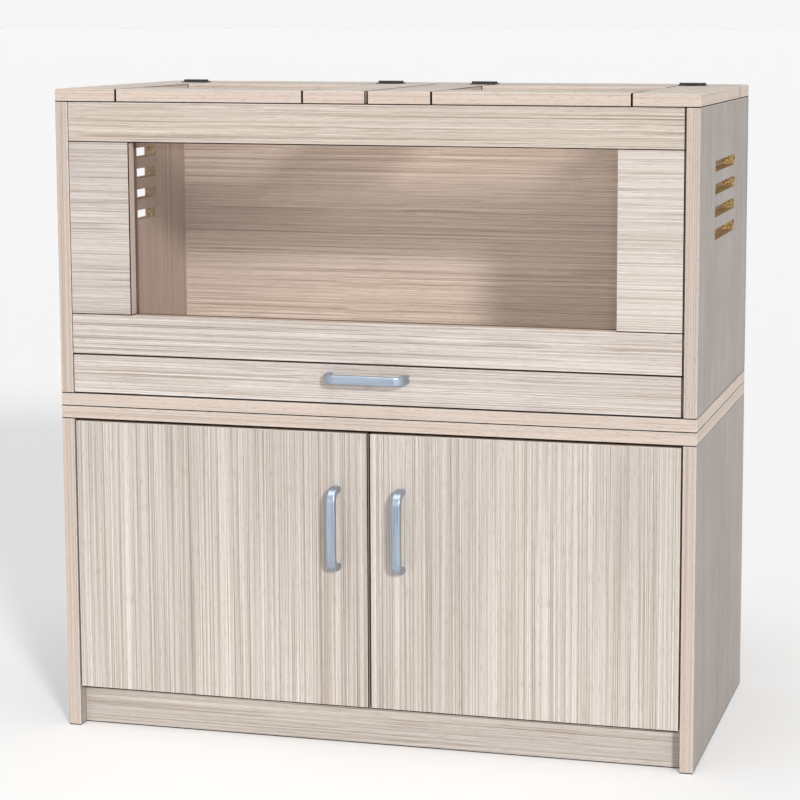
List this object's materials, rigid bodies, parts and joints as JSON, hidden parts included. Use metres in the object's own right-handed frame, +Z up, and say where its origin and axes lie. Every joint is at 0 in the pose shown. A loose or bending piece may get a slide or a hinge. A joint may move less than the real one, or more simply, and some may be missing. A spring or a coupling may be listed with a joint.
{
  "type": "hamster cage",
  "caption": "Flat-pack hamster cage: glazed, vented enclosure with hinged lids and a pull-out tray over a storage cabinet with doors.",
  "frame": {"origin": "centre of the bounding box at floor level, handles and lid hinges included", "axes": "+Z up, front with window, tray and doors faces -Y, +X to the right seen from the front"},
  "size_m": [0.8, 0.425, 0.809],
  "materials": {
    "melamine": "satin light oak print",
    "tray_board": "satin light oak print",
    "hardboard": "printed hardboard",
    "clear_acrylic": "clear polished",
    "brown_plastic": "brown extruded strip",
    "black_hinge": "black",
    "nickel_hardware": "nickel plated",
    "satin_aluminium": "satin anodised",
    "beech": "plain beech dowel",
    "mesh_wire": "galvanised"
  },
  "bodies": {
    "carcass": {"cabinet_back": "hardboard", "cabinet_bottom": "melamine", "cabinet_plinth": "melamine", "cabinet_side_left": "melamine", "cabinet_side_right": "melamine", "cabinet_top": "melamine", "cage_back": "melamine", "cage_base": "melamine", "cage_bottom_rail": "melamine", "cage_front_panel_left": "melamine", "cage_front_panel_right": "melamine", "cage_side_left": "melamine", "cage_side_right": "melamine", "cage_top_rail": "melamine", "front_dowels": "beech", "hinge_arm_left_lower": "nickel_hardware", "hinge_arm_left_upper": "nickel_hardware", "hinge_arm_right_lower": "nickel_hardware", "hinge_arm_right_upper": "nickel_hardware", "hinge_arm_screws": "nickel_hardware", "lid_hinge_base_left": "black_hinge", "lid_hinge_base_right": "black_hinge", "lid_hinge_base_screws": "black_hinge", "lid_rear_rail": "melamine", "window_channel_bottom": "brown_plastic", "window_channel_left": "brown_plastic", "window_channel_right": "brown_plastic", "window_pane": "clear_acrylic"},
    "lid_left": {"lid_left_hinge_leaves": "black_hinge", "lid_left_hinge_screws": "black_hinge", "lid_left_mesh": "mesh_wire", "lid_left_rail_front": "melamine", "lid_left_rail_rear": "melamine", "lid_left_stile_inner": "melamine", "lid_left_stile_outer": "melamine"},
    "lid_right": {"lid_right_hinge_leaves": "black_hinge", "lid_right_hinge_screws": "black_hinge", "lid_right_mesh": "mesh_wire", "lid_right_rail_front": "melamine", "lid_right_rail_rear": "melamine", "lid_right_stile_inner": "melamine", "lid_right_stile_outer": "melamine"},
    "tray": {"tray_back": "tray_board", "tray_floor": "hardboard", "tray_front": "melamine", "tray_handle": "satin_aluminium", "tray_handle_bolts": "nickel_hardware", "tray_side_left": "tray_board", "tray_side_right": "tray_board"},
    "door_left": {"door_left_handle": "satin_aluminium", "door_left_handle_bolts": "nickel_hardware", "door_left_hinge_cups": "nickel_hardware", "door_left_hinge_screws": "nickel_hardware", "door_left_panel": "melamine"},
    "door_right": {"door_right_handle": "satin_aluminium", "door_right_handle_bolts": "nickel_hardware", "door_right_hinge_cups": "nickel_hardware", "door_right_hinge_screws": "nickel_hardware", "door_right_panel": "melamine"}
  },
  "joints": [
    {"name": "lid_left_hinge", "type": "hinge", "parent": "carcass", "child": "lid_left", "pos_m": [-0.2015, 0.13175, 0.807], "axis": [-1, 0, 0], "range_deg": [0, 180]},
    {"name": "lid_right_hinge", "type": "hinge", "parent": "carcass", "child": "lid_right", "pos_m": [0.2015, 0.13175, 0.807], "axis": [-1, 0, 0], "range_deg": [0, 180]},
    {"name": "tray_slide", "type": "slide", "parent": "carcass", "child": "tray", "axis": [0, -1, 0], "range_m": [0, 0.3]},
    {"name": "door_left_hinge", "type": "hinge", "parent": "carcass", "child": "door_left", "pos_m": [-0.36748, -0.1805, 0.2215], "axis": [0, 0, -1], "range_deg": [0, 95]},
    {"name": "door_right_hinge", "type": "hinge", "parent": "carcass", "child": "door_right", "pos_m": [0.36748, -0.1805, 0.2215], "axis": [0, 0, 1], "range_deg": [0, 95]}
  ]
}
